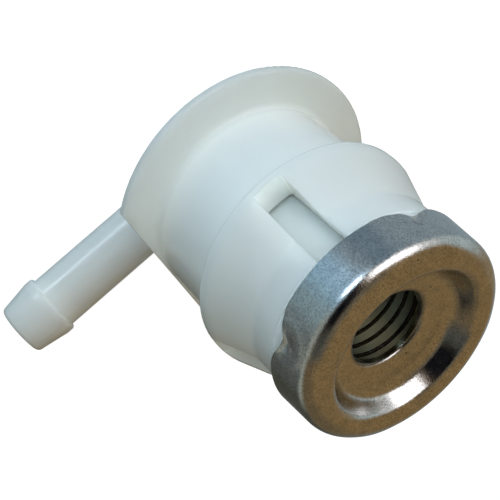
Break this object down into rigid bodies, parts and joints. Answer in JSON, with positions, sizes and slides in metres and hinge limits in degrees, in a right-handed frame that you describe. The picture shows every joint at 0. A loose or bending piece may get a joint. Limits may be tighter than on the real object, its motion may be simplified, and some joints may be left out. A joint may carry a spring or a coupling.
{
  "type": "fuel filter",
  "caption": "Right-angle tank-outlet fuel filter: flanged white nylon elbow with hose barb and windowed collar, crimped steel end cap and a spring-loaded strainer that lifts inside.",
  "frame": {"origin": "on the body axis, in the plane where the flange seats on the tank (the bottom of the grommet neck)", "axes": "+Z along the body axis towards the crimped cap, which stands up inside the tank; +X along the hose barb; +Y completes the right-handed frame"},
  "size_m": [0.0433, 0.0306, 0.0388],
  "materials": {
    "nylon": "natural nylon, milky and slightly translucent, satin",
    "zinc_steel": "bright zinc plate, pressed",
    "spring_wire": "drawn stainless wire",
    "nylon_inner": "natural nylon, satin",
    "mesh_wire": "stainless mesh",
    "rubber_seal": "fuel-resistant rubber, matt"
  },
  "bodies": {
    "body": {"housing": "nylon", "end_cap": "zinc_steel", "spring": "spring_wire"},
    "strainer": {"strainer_cup": "nylon_inner", "strainer_mesh": "mesh_wire", "mesh_ring": "nylon_inner", "seat_seal": "rubber_seal"}
  },
  "joints": [
    {"name": "strainer_lift", "type": "slide", "parent": "body", "child": "strainer", "axis": [0, 0, 1], "range_m": [0, 0.002], "stiffness_N_per_m": 21, "springref_m": -0.006, "deforming": ["spring"]}
  ]
}
